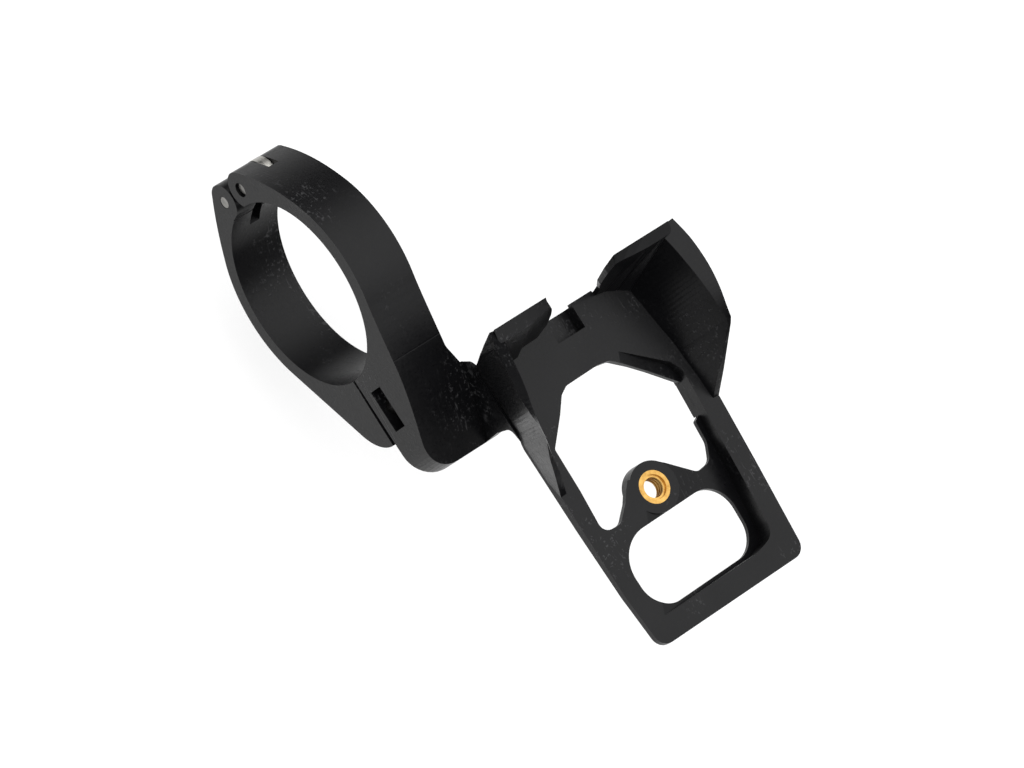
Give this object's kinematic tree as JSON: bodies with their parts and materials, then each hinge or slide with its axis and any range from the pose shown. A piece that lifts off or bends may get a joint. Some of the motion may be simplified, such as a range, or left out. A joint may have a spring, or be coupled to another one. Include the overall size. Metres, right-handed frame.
{
  "type": "bar clamp display mount",
  "caption": "Hinged two-part bar clamp with a side arm that carries an offset open tray for a bicycle display.",
  "frame": {"origin": "centre of the clamp's bore, at the middle of its width", "axes": "+Y along the handlebar through the bore, from the clamp towards the tray's far side; +X from the bore towards the tray's free end; +Z square to the tray's face, the side on which the display sits"},
  "size_m": [0.0975, 0.0479, 0.0473],
  "materials": {
    "moulding": "black glass-filled nylon, lightly textured, satin",
    "bright_steel": "plain stainless, lightly worn",
    "black_steel": "black oxide",
    "brass": "turned, unpolished"
  },
  "bodies": {
    "frame": {"arm_frame": "moulding", "clamp_nut": "black_steel", "threaded_insert": "brass"},
    "link": {"hinge_link": "bright_steel", "pin_upper": "bright_steel", "pin_lower": "bright_steel"},
    "jaw": {"clamp_jaw": "moulding"},
    "screw": {"clamp_screw": "black_steel"}
  },
  "joints": [
    {"name": "link_swing", "type": "hinge", "parent": "frame", "child": "link", "pos_m": [-0.01825, 0, 0.00248], "axis": [0, 1, 0], "range_deg": [0, 4.5]},
    {"name": "jaw_swing", "type": "hinge", "parent": "link", "child": "jaw", "pos_m": [-0.01836, 0, -0.0042], "axis": [0, 1, 0], "range_deg": [0, 0.9]},
    {"name": "screw_turn", "type": "hinge", "parent": "jaw", "child": "screw", "pos_m": [0.02245, 0, -0.006], "axis": [0, 0, 1], "range_deg": [-1980, 0]}
  ],
  "couplings": [
    {"joint": "screw_turn", "follows": "link_swing", "ratio": -440}
  ]
}
